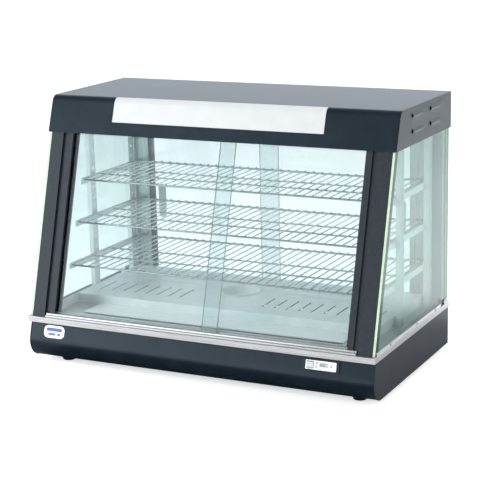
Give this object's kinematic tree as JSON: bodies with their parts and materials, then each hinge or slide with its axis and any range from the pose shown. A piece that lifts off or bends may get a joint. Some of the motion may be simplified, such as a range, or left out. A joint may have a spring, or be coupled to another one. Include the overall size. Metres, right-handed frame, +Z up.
{
  "type": "heated food display case",
  "caption": "Counter-top heated display case with a sloped sliding-glass front, sliding back doors, wire shelves, a perforated deck with a water dish and a lit hood.",
  "frame": {"origin": "middle of the footprint, at the bottom of the feet", "axes": "+Z up, +X to the right seen from the customer side, +Y towards the staff side"},
  "size_m": [0.906, 0.5, 0.6405],
  "materials": {
    "black_powder_coat": "satin powder coat on folded sheet steel",
    "black_anodised": "black anodised extrusion",
    "grey_anodised": "grey anodised extrusion",
    "brushed_stainless": "brushed along the length",
    "pressed_stainless": "pressed sheet, dull",
    "chromed_wire": "bright plated wire",
    "bright_steel": "bright screw steel",
    "black_rubber": "matt moulded rubber",
    "black_plastic": "fine moulded texture",
    "white_plastic": "smooth moulded",
    "dark_lens": "smoked display window",
    "red_lens": "tinted lens",
    "white_acrylic": "opal sheet, lit from behind",
    "lamp_glass": "opal lamp tube",
    "white_enamel": "white baked enamel",
    "heater_sheath": "heat-darkened steel sheath",
    "copper": "dull copper",
    "phenolic": "moulded phenolic",
    "circuit_board": "solder mask",
    "float_glass": "clear float glass with green edges"
  },
  "bodies": {
    "case": {"base_front": "black_powder_coat", "base_floor": "black_powder_coat", "base_end_left": "black_powder_coat", "base_end_right": "black_powder_coat", "base_back_panel": "black_powder_coat", "cable_gland": "black_plastic", "back_screws": "bright_steel", "foot_pads": "black_rubber", "foot_screws": "bright_steel", "top_frame": "brushed_stainless", "front_rail": "brushed_stainless", "rear_rail": "brushed_stainless", "side_beads": "brushed_stainless", "bead_screws": "bright_steel", "glass_clamps": "bright_steel", "deck_plate": "pressed_stainless", "deck_ledges": "pressed_stainless", "front_ledge": "brushed_stainless", "heating_element": "heater_sheath", "heater_brackets": "pressed_stainless", "thermostat_bulb": "copper", "terminal_block": "phenolic", "control_board": "circuit_board", "control_bezel": "black_plastic", "control_face": "white_plastic", "display_window": "dark_lens", "indicator_lens": "red_lens", "badge_plate": "white_plastic", "front_post_left": "black_anodised", "front_post_right": "black_anodised", "rear_post_left": "grey_anodised", "rear_post_right": "grey_anodised", "rear_flanges": "brushed_stainless", "side_glass_left": "float_glass", "side_glass_right": "float_glass", "uprights_left": "pressed_stainless", "uprights_right": "pressed_stainless", "shelf_arms": "pressed_stainless", "hood_shell": "black_powder_coat", "hood_end_left": "black_powder_coat", "hood_end_right": "black_powder_coat", "ceiling_panel": "white_enamel", "sign_panel": "white_acrylic", "lamp_tube": "lamp_glass", "lamp_holders": "white_plastic", "upper_front_track": "black_anodised", "upper_rear_track": "black_anodised"},
    "front_left_pane": {"front_pane_left": "float_glass"},
    "front_right_pane": {"front_pane_right": "float_glass"},
    "rear_left_pane": {"rear_pane_left": "float_glass", "rear_pull_left": "white_plastic"},
    "rear_right_pane": {"rear_pane_right": "float_glass", "rear_pull_right": "white_plastic"},
    "top_shelf": {"shelf_top": "chromed_wire"},
    "middle_shelf": {"shelf_middle": "chromed_wire"},
    "bottom_shelf": {"shelf_bottom": "chromed_wire"},
    "dish": {"water_dish": "pressed_stainless"},
    "rocker": {"power_switch": "white_plastic"},
    "up_key": {"up_button": "white_plastic"},
    "down_key": {"down_button": "white_plastic"}
  },
  "joints": [
    {"name": "front_left_slide", "type": "slide", "parent": "case", "child": "front_left_pane", "axis": [1, 0, 0], "range_m": [0, 0.336]},
    {"name": "front_right_slide", "type": "slide", "parent": "case", "child": "front_right_pane", "axis": [-1, 0, 0], "range_m": [0, 0.336]},
    {"name": "rear_left_slide", "type": "slide", "parent": "case", "child": "rear_left_pane", "axis": [1, 0, 0], "range_m": [0, 0.336]},
    {"name": "rear_right_slide", "type": "slide", "parent": "case", "child": "rear_right_pane", "axis": [-1, 0, 0], "range_m": [0, 0.336]},
    {"name": "top_shelf_lift", "type": "slide", "parent": "case", "child": "top_shelf", "axis": [0, 0, 1], "range_m": [0, 0.03]},
    {"name": "middle_shelf_lift", "type": "slide", "parent": "case", "child": "middle_shelf", "axis": [0, 0, 1], "range_m": [0, 0.03]},
    {"name": "bottom_shelf_lift", "type": "slide", "parent": "case", "child": "bottom_shelf", "axis": [0, 0, 1], "range_m": [0, 0.03]},
    {"name": "dish_lift", "type": "slide", "parent": "case", "child": "dish", "axis": [0, 0, 1], "range_m": [0, 0.03]},
    {"name": "rocker_tip", "type": "hinge", "parent": "case", "child": "rocker", "pos_m": [0.294, -0.24011, 0.08944], "axis": [1, 0, 0], "range_deg": [-6, 6]},
    {"name": "up_press", "type": "slide", "parent": "case", "child": "up_key", "axis": [0, 0.9598, -0.2807], "range_m": [0, 0.001], "stiffness_N_per_m": 300},
    {"name": "down_press", "type": "slide", "parent": "case", "child": "down_key", "axis": [0, 0.9598, -0.2807], "range_m": [0, 0.001], "stiffness_N_per_m": 300}
  ]
}
